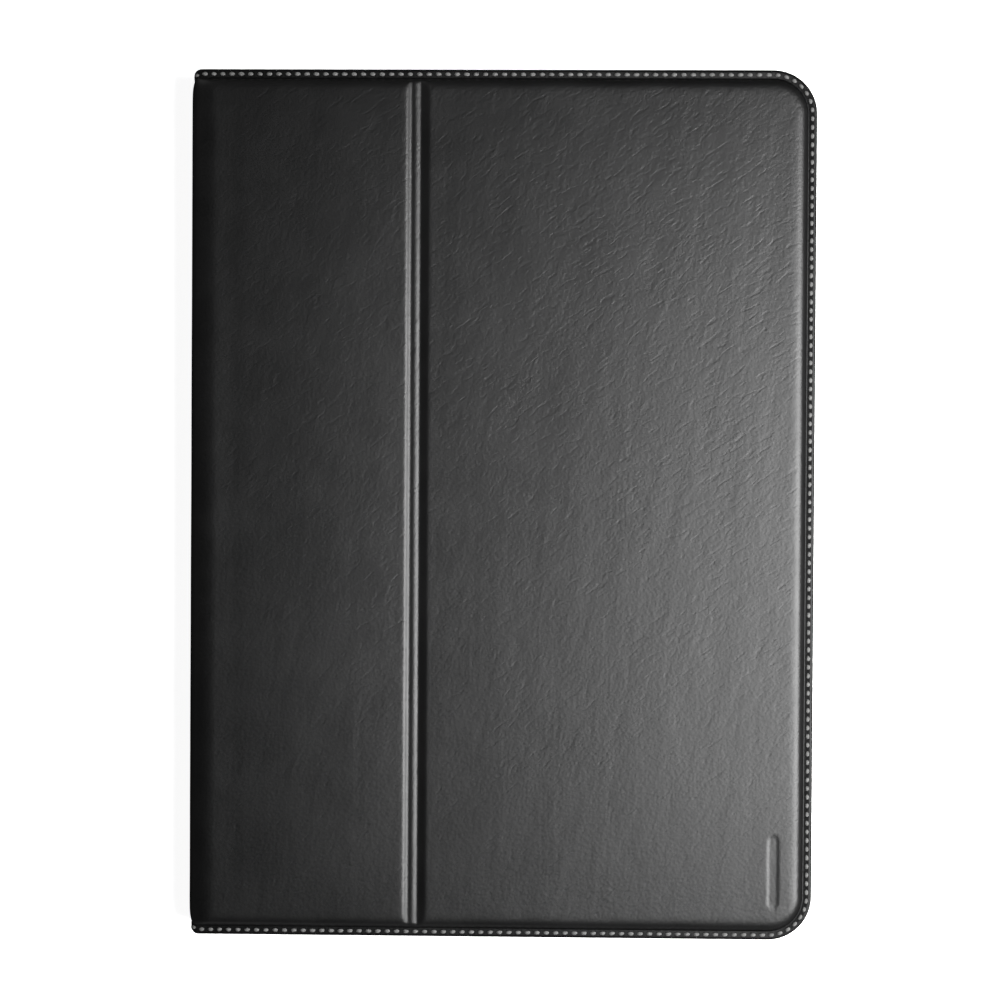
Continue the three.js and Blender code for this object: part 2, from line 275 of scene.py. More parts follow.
def camera_drilled(made, layer):
    """The object with the tablet camera's round hole through it, in that layer's size."""
    bpy.ops.mesh.primitive_cylinder_add(
        vertices=96,
        radius=CAMERA_HOLE[layer] * MM,
        depth=THROUGH * MM,
        location=(CAMERA_HOLE["x"] * MM, CAMERA_HOLE["y"] * MM, 0),
    )
    return without_newest(made)


def with_window(made, x0, x1, half):
    """The object with a rectangular opening through it."""
    bpy.ops.mesh.primitive_cube_add(
        size=MM,
        location=((x0 + x1) / 2 * MM, 0, 0),
        scale=(x1 - x0, 2 * half, THROUGH),
    )
    return without_newest(made)


def without_newest(made):
    """The object with the newest object cut away from it."""
    tool = bpy.context.object
    cutter = made.modifiers.new("hole", "BOOLEAN")
    cutter.operation = "DIFFERENCE"
    cutter.solver = "EXACT"
    cutter.object = tool
    apply_modifiers(made)
    bpy.data.objects.remove(tool)
    made.data.shade_smooth()
    made.data.set_sharp_from_angle(angle=math.radians(SHARP))
    return made


def apply_modifiers(made):
    worked = made.evaluated_get(bpy.context.evaluated_depsgraph_get())
    result = bpy.data.meshes.new_from_object(worked)
    made.modifiers.clear()
    made.data = result


def waviness(x, y, scales, seed):
    """Uneven height from smooth noise: scales are (length along x, length along y, height)."""
    total = np.zeros(x.shape)
    for n, (along_x, along_y, height) in enumerate(scales):
        field = [
            noise.noise(Vector((px / along_x, py / along_y, seed + 7.3 * n)))
            for px, py in zip(x.ravel().tolist(), y.ravel().tolist())
        ]
        total += height * np.array(field).reshape(x.shape)
    return total


# ---- The leather's swell over its foam ----

CLOTH_STEP = 4.0
CLOTH_FRAMES = 20


def swell(x0, x1, half):
    """Height of a sheet held at its rim and pushed up by foam: a function, from 0 to 1, of x, y."""
    xs = np.linspace(x0, x1, round((x1 - x0) / CLOTH_STEP) + 1)
    ys = np.linspace(-half, half, round(2 * half / CLOTH_STEP) + 1)
    x, y = np.meshgrid(xs, ys, indexing="ij")
    height = blown_sheet(x, y)
    height = np.clip(height / height.max(), 0, 1)

    def at(px, py):
        i = np.clip((px - x0) / (x1 - x0), 0, 1) * (len(xs) - 1)
        j = np.clip((py + half) / (2 * half), 0, 1) * (len(ys) - 1)
        i0 = np.minimum(i.astype(int), len(xs) - 2)
        j0 = np.minimum(j.astype(int), len(ys) - 2)
        u, v = i - i0, j - j0
        near = height[i0, j0] * (1 - v) + height[i0, j0 + 1] * v
        far = height[i0 + 1, j0] * (1 - v) + height[i0 + 1, j0 + 1] * v
        return near * (1 - u) + far * u

    return at


def blown_sheet(x, y):
    """Heights of a cloth sheet over that grid, pinned round its rim, after it is blown up."""
    ni, nj = x.shape
    ids = np.arange(ni * nj).reshape(ni, nj)
    corners = [ids[:-1, :-1], ids[1:, :-1], ids[1:, 1:], ids[:-1, 1:]]
    faces = np.stack(corners, -1).reshape(-1, 4).tolist()
    flat = np.stack([x, y, np.zeros(x.shape)], -1).reshape(-1, 3)
    sheet = make_mesh("swell_sheet", flat, faces)
    rim = np.concatenate([ids[0], ids[-1], ids[1:-1, 0], ids[1:-1, -1]]).tolist()
    sheet.vertex_groups.new(name="rim").add(rim, 1.0, "REPLACE")
    cloth = sheet.modifiers.new("cloth", "CLOTH")
    cloth.settings.quality = 6
    cloth.settings.mass = 0.4
    cloth.settings.tension_stiffness = 15
    cloth.settings.compression_stiffness = 15
    cloth.settings.bending_stiffness = 2
    cloth.settings.vertex_group_mass = "rim"
    cloth.settings.use_pressure = True
    cloth.settings.uniform_pressure_force = 4
    cloth.settings.effector_weights.gravity = 0
    cloth.point_cache.frame_start = 1
    cloth.point_cache.frame_end = CLOTH_FRAMES
    scene = bpy.context.scene
    for step in range(1, CLOTH_FRAMES + 1):
        scene.frame_set(step)
    blown = sheet.evaluated_get(bpy.context.evaluated_depsgraph_get()).to_mesh()
    points = np.empty(len(blown.vertices) * 3)
    blown.vertices.foreach_get("co", points)
    bpy.data.objects.remove(sheet)
    scene.frame_set(1)
    return np.abs(points.reshape(ni, nj, 3)[..., 2])


# ---- The front cover ----

PLATEAU_HALF = HALF - FOOT - SHOULDER
hinge_swell = swell(JOIN_X, FOLD_LINE[0][0], PLATEAU_HALF)
front_swell = swell(FOLD_LINE[-1][0], FREE_EDGE - FOOT - SHOULDER, PLATEAU_HALF)


def pad_share(x, y):
    """Height of the padding's outer shoulder: 0 at the sewn edge, 1 on the padded face."""
    d = in_from_case(x, y)
    near = np.linspace(-0.7, 0.7, 9)
    weights = np.exp(-((near / 0.4) ** 2))
    stops, heights = zip(*SHOULDER_LINE)
    return sum(w * np.interp(d + n, stops, heights) for n, w in zip(near, weights)) / weights.sum()


def fold_sink(x):
    """How far the leather sinks at the fold line."""
    near = np.linspace(-0.6, 0.6, 13)
    weights = np.exp(-((near / 0.28) ** 2))
    stops, depths = zip(*FOLD_LINE)
    sunk = sum(w * np.interp(x + n, stops, depths) for n, w in zip(near, weights))
    return sunk / weights.sum()


def rim_drop(d):
    """How far a sewn edge rounds off at its rim, a distance d inside it."""
    t = np.clip((RIM_ROUND - d) / RIM_ROUND, 0, 1)
    return RIM_DROP * (1 - np.sqrt(1 - t**2))


def edge_surface(d):
    """How far the sewn edge lies below its own level, a distance d inside the rim."""
    return rim_drop(d) + DIP * np.clip((d - RIM_FLAT) / (FOOT - RIM_FLAT), 0, 1) - EDGE_PROUD


def front_height(x, y):
    """Top surface of the front cover without its small unevenness."""
    rise = TOP - FRONT_EDGE_Z + DIP - EDGE_PROUD
    panel = -highest(-rise * pad_share(x, y), fold_sink(x) - rise, 0.3)
    return FRONT_EDGE_Z - edge_surface(in_from_case(x, y)) + np.maximum(panel, 0.0)


def pressed_mark(x, y):
    """Depth of the plain mark: a long rounded bar pressed into the leather."""
    straight = MARK["half_length"] - MARK["half_width"]
    r = np.hypot(x - MARK["x"], np.maximum(np.abs(y - MARK["y"]) - straight, 0))
    return MARK["depth"] * eased(-r, -MARK["half_width"] - 0.35, -MARK["half_width"] + 0.35)


LEATHER_WAVES = ((34, 60, 0.055), (13, 21, 0.022), (5.5, 7, 0.007))


def leather_waves(x, y, share, seed):
    """Unevenness of stretched leather, which fades out at its stitching."""
    return waviness(x, y, LEATHER_WAVES, seed) * np.clip(share, 0, 1)


def make_front_cover():
    xs = graded(
        (JOIN_X, 1.0),
        (-29.5, 0.27),
        (-18.5, 1.0),
        (74.2, 0.4),
        (81.6, 0.5),
        (FREE_EDGE - FOOT, 0.2),
        (FREE_EDGE, 0),
    )
    ys_top = graded((0, 1.0), (111.5, 1.0), (116.5, 0.4), (HALF - FOOT, 0.2), (HALF, 0))
    ys_low = graded((0, 1.0), (93, 0.6), (111.5, 0.6), (116.5, 0.4), (HALF - FOOT, 0.2), (HALF, 0))
    ys = np.concatenate([-ys_low[::-1], ys_top[1:]])
    xs = np.sort(np.unique(np.append(xs, FREE_EDGE - CORNER)))
    x, y = pull_corners(xs, ys, [(1, 1, CORNER), (1, -1, CORNER)])
    smooth = front_height(x, y)
    share = pad_share(x, y)
    left_fade = eased(x, JOIN_X, JOIN_X + 6)
    crown = np.where(x < FOLD_MIDDLE, hinge_swell(x, y), front_swell(x, y)) * CROWN
    waves = leather_waves(x, y, share, 1.7)
    z = smooth + crown * left_fade + waves - pressed_mark(x, y)
    under = np.maximum(smooth - SKIN, FRONT_EDGE_Z - SKIN)
    across_bends = (-28.5, -27.2, -26, -24.6, -23.2, -22.2, -21, 83.5, 85, FREE_EDGE - FOOT)
    along_bends = (FOOT - HALF, -119.8, -118.2, 118.2, 119.8, HALF - FOOT)
    made = shell(
        "front_cover_skin",
        np.stack([x, y, z], -1),
        np.stack([x, y, under], -1),
        kept_lines(xs, 6, across_bends),
        kept_lines(ys, 6, along_bends),
    )
    return made, ys


front_skin, cover_ys = make_front_cover()


def back_height(x, y):
    """Outer surface of the back cover, which looks down, without its recess and waves."""
    rise = BACK_EDGE_Z + DIP - EDGE_PROUD
    return BACK_EDGE_Z + edge_surface(in_from_case(x, y)) - np.maximum(rise * pad_share(x, y), 0.0)


# ---- The spine ----


def around_corner(level_z, face_x, radii, thickness, samples):
    """Points of one layer of the spine, from its middle to where the cover takes over.

    level_z, face_x and thickness may hold one value for each position along the spine.
    samples is how many points lie on the face, round the corner and on the flat beyond it.
    """
    level_z, face_x = level_z - thickness, face_x + thickness
    radius_x, radius_z = (r - thickness for r in radii)
    centre_x, centre_z = face_x + radius_x, level_z - radius_z
    rows = []
    for t in np.linspace(0, 1, samples[0], endpoint=False):
        rows.append((face_x, MID_HEIGHT + (centre_z - MID_HEIGHT) * t))
    for t in np.linspace(0, math.pi / 2, samples[1], endpoint=False):
        rows.append((centre_x - radius_x * np.cos(t), centre_z + radius_z * np.sin(t)))
    for t in np.linspace(0, 1, samples[2]):
        rows.append((centre_x + (JOIN_X - centre_x) * t, level_z))
    x, z = (np.array([row[k] + 0 * level_z for row in rows]) for k in (0, 1))
    return x, z


def spine_half(x):
    """Half length of the spine at x: its corners are slightly rounded."""
    beyond = np.minimum(x + FREE_EDGE - SPINE_END_ROUND, 0)
    return HALF - SPINE_END_ROUND + np.sqrt(np.maximum(SPINE_END_ROUND**2 - beyond**2, 0))


def spine_layer(level_z, edge_level):
    """Outer and inner surface of the leather on the front half of the spine."""
    puff = np.clip((level_z - edge_level) / (TOP - edge_level), 0, 1)
    rim = np.maximum(edge_level - level_z, 0)
    both_corners = zip(SPINE_CORNER_SEWN, SPINE_CORNER_PADDED)
    radii = [sewn + (padded - sewn) * puff for sewn, padded in both_corners]
    face_x = spine_low[0] - SPINE_BULGE + SPINE_PUFF * (1 - puff) + SPINE_DRAWN_IN * rim
    samples = (10, 20, 6)
    thickness = np.minimum(SKIN, level_z - (edge_level - SKIN))
    return [around_corner(level_z, face_x, radii, inward, samples) for inward in (0.0, thickness)]


def make_spine_half(name, edge_level, level_z, seed, upside_down):
    """One half of the spine's leather. upside_down is for the half that joins the back cover."""
    grids = []
    for x, z in spine_layer(level_z, edge_level):
        y = cover_ys[None, :] * spine_half(x) / HALF
        grids.append(np.stack([x, y, TOP - z if upside_down else z], -1))
    outer, inner = grids
    share = pad_share(JOIN_X, cover_ys)[None, :] + 0 * outer[..., 0]
    uneven = leather_waves(outer[..., 1], outer[..., 2] * 2, share, seed)
    fade = eased(JOIN_X - outer[..., 0], 0, 3)
    outer[..., 0] += uneven * fade * 0.6
    return shell(name, outer, inner, turned=not upside_down)


front_level = front_height(JOIN_X, cover_ys)
back_level = TOP - back_height(JOIN_X, cover_ys)
front_spine_skin = make_spine_half("spine_front_skin", FRONT_EDGE_Z, front_level, 3.1, False)
back_spine_skin = make_spine_half("spine_back_skin", TOP - BACK_EDGE_Z, back_level, 5.9, True)

# ---- The back cover ----

RECESS = {"x0": -3.6, "x1": 32.5, "half": 75.6, "depth": 1.5, "wall": 0.9}


def recess_depth(x, y):
    """Depth of the shallow pan that the tuck flap lies in."""
    d = in_from_edge(x, y, RECESS["x0"], RECESS["x1"], RECESS["half"], 1.5, 6.0)
    return RECESS["depth"] * eased(d, -RECESS["wall"], 0.0)


def make_back_cover():
    xs = graded(
        (JOIN_X, 1.5),
        (-5.5, 0.35),
        (-2.5, 1.5),
        (31.5, 0.35),
        (34.5, 1.5),
        (65, 0.8),
        (83.5, 0.5),
        (FREE_EDGE - FOOT, 0.25),
        (FREE_EDGE, 0),
    )
    xs = np.sort(np.unique(np.append(xs, FREE_EDGE - CORNER)))
    half_ys = graded(
        (0, 1.6),
        (74.5, 0.35),
        (77.5, 1.6),
        (96, 0.9),
        (111.5, 0.9),
        (116.5, 0.4),
        (HALF - FOOT, 0.2),
        (HALF, 0),
    )
    ys = mirrored(half_ys)
    x, y = pull_corners(xs, ys, [(1, 1, CORNER), (1, -1, CORNER)])
    smooth = back_height(x, y)
    share = pad_share(x, y)
    from_hole = np.hypot(x - CAMERA_HOLE["x"], y - CAMERA_HOLE["y"]) - CAMERA_HOLE["skin"]
    turned_in = 0.5 * eased(-from_hole, -1.4, 0.2)
    waves = leather_waves(x, y, share, 9.4) * eased(x, JOIN_X, JOIN_X + 6)
    dips = np.maximum(recess_depth(x, y), turned_in)
    z = smooth + dips + np.maximum(waves, 0) * (dips < 0.05)
    under = np.minimum(smooth + SKIN + recess_depth(x, y), BACK_EDGE_Z + SKIN)
    face, inside = np.stack([x, y, z], -1), np.stack([x, y, under], -1)
    return camera_drilled(shell("back_cover_skin", face, inside, turned=True), "skin")


back_skin = make_back_cover()

# ---- Linings ----

CLOTH_RIM = 0.12


def flat_sheet(name, xs, ys, corners, low, high):
    """A thin sheet with rounded rims, between two levels."""
    x, y = pull_corners(xs, ys, corners)
    radius_right = max([r for sx, _, r in corners if sx > 0], default=0.0)
    radius_left = max([r for sx, _, r in corners if sx < 0], default=0.0)
    d = in_from_edge(x, y, xs[0], xs[-1], ys[-1], radius_right, radius_left)
    t = np.clip(1 - d / CLOTH_RIM, 0, 1)
    drop = CLOTH_RIM * (1 - np.sqrt(1 - t**2))
    return shell(name, np.stack([x, y, high - drop], -1), np.stack([x, y, low + drop], -1))


LINING = 0.5
LINING_INSET = 0.2
LINING_CORNER = 1.6
RIM_LINES = (0.0, 0.04, 0.12, 0.6, 2.0)


def rimmed(start, end, step, at_start=True, at_end=True, extra=()):
    """Coordinates with lines close together at the ends that are rims."""
    values = list(graded((start, step), (end, 0)))
    if at_start:
        values += [start + r for r in RIM_LINES]
    if at_end:
        values += [end - r for r in RIM_LINES]
    return np.unique(np.round(np.array(values + list(extra)), 4))


def make_linings():
    inset_radius = CORNER - LINING_INSET
    right = FREE_EDGE - LINING_INSET
    half = HALF - LINING_INSET
    ys = rimmed(-half, half, 3.0, extra=(-half + inset_radius, half - inset_radius))
    crease = graded((-27, 0.4), (-18, 0))
    xs = rimmed(JOIN_X, right, 3.0, at_start=False, extra=(right - inset_radius, *crease))
    corners = [(1, 1, inset_radius), (1, -1, inset_radius)]
    front = flat_sheet("front_cover_lining", xs, ys, corners, lining_low[2], lining_high[2])
    xs = rimmed(JOIN_X, right, 3.0, at_start=False, extra=(right - inset_radius,))
    back_z = BACK_EDGE_Z + SKIN
    back = flat_sheet("back_cover_lining", xs, ys, corners, back_z, back_z + LINING)
    camera_drilled(back, "skin")
    halves = []
    for name, level, upside_down in (
        ("spine_front_lining", lining_high[2], False),
        ("spine_back_lining", TOP - back_z, True),
    ):
        level_z = np.full(len(ys), level)
        face_x = np.full(len(ys), spine_high[0] + SPINE_BOARD)
        grids = []
        for depth in (0.0, LINING):
            x, z = around_corner(level_z, face_x, (LINING_CORNER,) * 2, depth, (10, 6, 10))
            y = ys[None, :] * (spine_half(x) - LINING_INSET) / HALF
            grids.append(np.stack([x, y, TOP - z if upside_down else z], -1))
        halves.append(shell(name, *grids, turned=not upside_down))
    return front, back, *halves


front_lining, back_lining, front_spine_lining, back_spine_lining = make_linings()

# ---- Foam under the leather ----

# The foam's face is rounded off over this width, down to this share of its thickness.
FOAM_ROUND = 1.9
FOAM_RIM_SHARE = 0.35
FOAM_STEP = 4.0


def foam_lines(start, end, *extra):
    """Coordinates with lines close together where the foam is rounded off."""
    insets = (0.0, 0.15, 0.4, 0.8, 1.3, FOAM_ROUND)
    close = [line for inset in insets for line in (start + inset, end - inset)]
    return np.unique(np.round([*np.arange(start, end, FOAM_STEP), *close, *extra], 4))


def foam_block(name, x0, x1, half, radius, base, face, below):
    """A foam pad whose face is rounded off all round."""
    xs = foam_lines(x0, x1, x1 - radius)
    ys = foam_lines(-half, half, half - radius, radius - half)
    x, y = pull_corners(xs, ys, [(1, 1, radius), (1, -1, radius)])
    d = in_from_edge(x, y, x0, x1, half, radius, 0.0)
    t = np.clip(1 - d / FOAM_ROUND, 0, 1)
    share = FOAM_RIM_SHARE + (1 - FOAM_RIM_SHARE) * np.sqrt(1 - t**2)
    height = abs(face - base) * share
    top = base - height if below else base + height
    return shell(name, np.stack([x, y, top], -1), np.stack([x, y, base + 0 * x], -1), turned=below)


def make_foam():
    made = []
    for panel, rounded, below in (
        ("hinge_panel", False, False),
        ("front_panel", True, False),
        ("back", True, True),
    ):
        low, high = millimetres(f"{panel}_padding")
        radius = CORNER - (HALF - high[1]) if rounded else 1.0
        base, face = (high[2], low[2]) if below else (low[2], high[2])
        pad = foam_block(f"{panel}_foam", low[0], high[0], high[1], radius, base, face, below)
        if below:
            wall = RECESS["wall"]
            with_window(pad, RECESS["x0"] - wall, RECESS["x1"] + wall, RECESS["half"] + wall)
            camera_drilled(pad, "skin")
        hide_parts(f"{panel}_padding")
        made.append(pad)
    return made


hinge_foam, front_foam, back_foam = make_foam()

# ---- The tuck flap ----

# Its leather's corners, rounded edges and thickness, the dent along its hinge, where its
# cloth starts and ends, and its stitches' distance from the edges and ends.
FLAP = {
    "corner": 6.0,
    "rim": 0.25,
    "skin": 0.6,
    "proud": 0.02,
    "fold_x": 27.3,
    "fold_width": 0.7,
    "fold_depth": 0.18,
    "cloth_inset": 0.3,
    "cloth_end": 26.4,
    "seam": 1.6,
    "seam_end": 25.4,
    "hem_end": 2.0,
}


def make_flap():
    x0, x1 = flap_low[0], hem_high[0]
    half, radius = flap_high[1], FLAP["corner"]
    xs = rimmed(x0, x1, 0.9, extra=(x0 + radius, *graded((25, 0.3), (29, 0))))
    ys = rimmed(-half, half, 1.2, extra=(-half + radius, half - radius))
    x, y = pull_corners(xs, ys, [(-1, 1, radius), (-1, -1, radius)])
    d = in_from_edge(x, y, x0, x1, half, 0.2, radius)
    t = np.clip(1 - d / FLAP["rim"], 0, 1)
    rim = FLAP["rim"] * (1 - np.sqrt(1 - t**2))
    fold = FLAP["fold_depth"] * np.exp(-(((x - FLAP["fold_x"]) / FLAP["fold_width"]) ** 2))
    waves = waviness(x, y, ((14, 30, 0.06), (6, 8, 0.02)), 12.5)
    face = FLAP["proud"] + rim + fold + np.clip(waves, 0, 0.1) * np.clip(d, 0, 1)
    thin = FLAP["proud"] + FLAP["skin"]
    under = thin + (hem_high[2] - thin) * eased(x, 26.6, 28.0) - rim
    surfaces = np.stack([x, y, face], -1), np.stack([x, y, under], -1)
    flap = shell("tuck_flap_leather", *surfaces, turned=True)

    low, high = millimetres("tuck_flap_lining")
    inset = FLAP["cloth_inset"]
    xs = rimmed(x0 + inset, FLAP["cloth_end"], 2.0, extra=(x0 + radius,))
    ys = rimmed(-half + inset, half - inset, 3.0, extra=(-half + radius, half - radius))
    corners = [(-1, 1, radius - inset), (-1, -1, radius - inset)]
    return flap, flat_sheet("tuck_flap_cloth", xs, ys, corners, low[2], high[2])


flap_leather, flap_cloth = make_flap()

# ---- The pad in the tray ----

TRAY_CORNER = 10.6


def make_tray_cloth():
    low, high = millimetres("tray_pad")
    radius, middle = TRAY_CORNER, (low[0] + high[0]) / 2
    xs = rimmed(low[0], high[0], 3.0, extra=(low[0] + radius, high[0] - radius)) - middle
    ys = rimmed(low[1], high[1], 3.0, extra=(low[1] + radius, high[1] - radius))
    corners = [(sx, sy, radius) for sx in (-1, 1) for sy in (-1, 1)]
    made = flat_sheet("tray_pad_cloth", xs, ys, corners, low[2], high[2])
    made.data.transform(Matrix.Translation((middle * MM, 0, 0)))
    return camera_drilled(made, "pad")


tray_cloth = make_tray_cloth()

# ---- Stitching ----

# A stitch: its length as a share of the pitch, half its width and height, how far its middle
# arches up, and how deep its ends sink in.
STITCH = {"length": 0.64, "width": 0.5, "height": 0.32, "arch": 0.3, "sink": 0.16}
# How far a stitch strays from its direction, in degrees, and from its length.
STITCH_TILT, STITCH_STRAY = 2.5, 0.03
STITCH_SIDES, STITCH_RINGS = 8, 9
PITCH_ENDS, PITCH_SIDE = 2.68, 2.46


def cover_seam(inset, x_start):
    """Middles and directions of the stitches along a cover's three sewn edges."""
    radius = CORNER - inset
    centre_x, centre_y = FREE_EDGE - CORNER, HALF - CORNER
    spots = []
    count = round((centre_x - x_start) / PITCH_ENDS)
    pitch = (centre_x - x_start) / count
    for i in range(count):
        spots.append((x_start + (i + 0.5) * pitch, HALF - inset, 0.0, pitch))
    arc = round(radius * math.pi / 2 / PITCH_SIDE)
    arc_pitch = radius * math.pi / 2 / arc
    for i in range(arc):
        angle = math.pi / 2 * (1 - (i + 0.5) / arc)
        x, y = centre_x + radius * math.cos(angle), centre_y + radius * math.sin(angle)
        spots.append((x, y, angle - math.pi / 2, arc_pitch))
    side = round(centre_y / PITCH_SIDE)
    side_pitch = centre_y / side
    for i in range(side):
        y = centre_y - (i + 0.5) * side_pitch
        spots.append((FREE_EDGE - inset, y, -math.pi / 2, side_pitch))
    return spots + [(x, -y, -a, p) for x, y, a, p in reversed(spots)]


def thread(name, stitches, seed):
    """Stitches as one object: each is (middle, direction along, direction out, pitch)."""
    rng = np.random.default_rng(seed)
    sides, rings = STITCH_SIDES, STITCH_RINGS
    points, faces = [], []
    turn = np.linspace(0, 2 * math.pi, sides, endpoint=False)
    for middle, along, out, pitch in stitches:
        along, out = np.array(along, float), np.array(out, float)
        along = along / np.linalg.norm(along)
        across = np.cross(out, along)
        tilt = math.radians(rng.normal(0, STITCH_TILT))
        cos, sin = math.cos(tilt), math.sin(tilt)
        along, across = along * cos + across * sin, across * cos - along * sin
        length = pitch * STITCH["length"] * rng.normal(1, STITCH_STRAY)
        base = len(points)
        for k in range(rings):
            t = -1 + 2 * k / (rings - 1)
            arch = STITCH["arch"] * (1 - t * t) - STITCH["sink"]
            size = math.sqrt(max(1 - abs(t) ** 3.0, 0.06))
            centre = np.array(middle) + along * (t * length / 2) + out * arch
            twist = 1 + 0.07 * np.cos(2 * turn + 5.0 * t)
            ring = (
                centre
                + np.outer(np.cos(turn) * STITCH["width"] * size * twist, across)
                + np.outer(np.sin(turn) * STITCH["height"] * size * twist, out)
            )
            points.extend(ring)
        for k in range(rings - 1):
            for s in range(sides):
                a, b = base + k * sides + s, base + k * sides + (s + 1) % sides
                faces.append([a, b, b + sides, a + sides])
        faces.append([base + s for s in reversed(range(sides))])
        faces.append([base + (rings - 1) * sides + s for s in range(sides)])
    return make_mesh(name, np.array(points), faces, sharp=80)


def lay(spots, z, out):
    """Stitches on a flat cover, at level z."""
    return [((x, y, z), (math.cos(a), math.sin(a), 0), (0, 0, out), p) for x, y, a, p in spots]


def corner_stitches(edge_level, upside_down):
    """Stitches along both ends of one half of the spine, from its middle round to the cover."""
    level_z = np.array([edge_level])
    face_x = np.array([spine_low[0] + SPINE_PUFF])
    x, z = around_corner(level_z, face_x, SPINE_CORNER_SEWN, 0.0, (12, 12, 8))
    path = np.stack([x[:, 0], z[:, 0]], -1)
    steps = np.concatenate([[0], np.cumsum(np.linalg.norm(np.diff(path, axis=0), axis=1))])
    count = round(steps[-1] / PITCH_ENDS)
    pitch = steps[-1] / count
    found = []
    for i in range(count):
        before, here, after = (
            [np.interp((i + 0.5) * pitch + s, steps, path[:, k]) for k in (0, 1)]
            for s in (-0.4, 0, 0.4)
        )
        ahead = np.array([after[0] - before[0], 0, after[1] - before[1]])
        out = np.array([-ahead[2], 0, ahead[0]])
        for side in (1, -1):
            y = side * (spine_half(here[0]) - SEAM_INSET)
            middle, along, away = np.array([here[0], y, here[1]]), ahead.copy(), out.copy()
            if upside_down:
                middle[2] = TOP - middle[2]
                along[2], away[2] = -along[2], -away[2]
            found.append((middle, along, away / np.linalg.norm(away), pitch))
    return found


def flap_seam():
    """Stitches round the flap's three free edges, and those along its hem."""
    corner, inset = FLAP["corner"], FLAP["seam"]
    radius = corner - inset
    x0, half = flap_low[0] + corner, flap_high[1] - corner
    count = round((FLAP["seam_end"] - x0) / PITCH_SIDE)
    pitch = (FLAP["seam_end"] - x0) / count
    found = []
    for side in (1, -1):
        for i in range(count):
            found.append((x0 + (i + 0.5) * pitch, side * (flap_high[1] - inset), 0.0, pitch))
        for i in range(3):
            angle = math.pi / 2 + math.pi / 2 * (i + 0.5) / 3
            x, y = x0 + radius * math.cos(angle), side * (half + radius * math.sin(angle))
            found.append((x, y, side * (angle + math.pi / 2), radius * math.pi / 6))
    found += straight_seam(flap_low[0] + inset, half)
    return found, straight_seam(hem_high[0] - inset, flap_high[1] - FLAP["hem_end"])


def straight_seam(x, half):
    """Stitches in a row along Y, half of it on either side of the middle."""
    count = round(2 * half / PITCH_SIDE)
    pitch = 2 * half / count
    return [(x, -half + (i + 0.5) * pitch, math.pi / 2, pitch) for i in range(count)]


cover_spots = cover_seam(SEAM_INSET, JOIN_X)
front_thread = thread(
    "front_cover_thread",
    lay(cover_spots, FRONT_EDGE_Z, 1) + lay(cover_spots, lining_low[2] + 0.1, -1),
    21,
)
back_thread = thread(
    "back_cover_thread",
    lay(cover_spots, BACK_EDGE_Z, -1) + lay(cover_spots, BACK_EDGE_Z + SKIN + 0.4, 1),
    22,
)
front_spine_thread = thread("spine_front_thread", corner_stitches(FRONT_EDGE_Z, False), 23)
back_spine_thread = thread("spine_back_thread", corner_stitches(TOP - BACK_EDGE_Z, True), 24)
flap_spots, hem_spots = flap_seam()
flap_thread = thread("tuck_flap_thread", lay(flap_spots, 0.12, -1), 25)
hem_thread = thread("tuck_flap_hem_thread", lay(hem_spots, 0.12, -1), 26)

# ---- Materials ----

# Where the leather turns dull at a sewn edge, out from the centres of the rounded corners.
SEWN_BAND = ((CORNER - 3.1) * MM, (CORNER - 2.3) * MM)
# The place on the front panel, in metres, where the leather is creased most.
MOST_CREASED = (0.03, 0.06, 0.018)


class Steps:
    """Shader nodes in one tree."""

    def __init__(self, tree):
        self.tree = tree

    def node(self, kind, values=None, **settings):
        made = self.tree.nodes.new(kind)
        for key, value in settings.items():
            setattr(made, key, value)
        for key, value in (values or {}).items():
            if isinstance(value, bpy.types.NodeSocket):
                self.tree.links.new(value, made.inputs[key])
            else:
                made.inputs[key].default_value = value
        return made

    def math(self, operation, a, b=0.5, c=0.5):
        return self.node("ShaderNodeMath", {0: a, 1: b, 2: c}, operation=operation).outputs[0]

    def ramp(self, value, low, high, out_low=0.0, out_high=1.0):
        return self.node(
            "ShaderNodeMapRange",
            {
                "Value": value,
                "From Min": low,
                "From Max": high,
                "To Min": out_low,
                "To Max": out_high,
            },
            interpolation_type="SMOOTHSTEP",
        ).outputs["Result"]


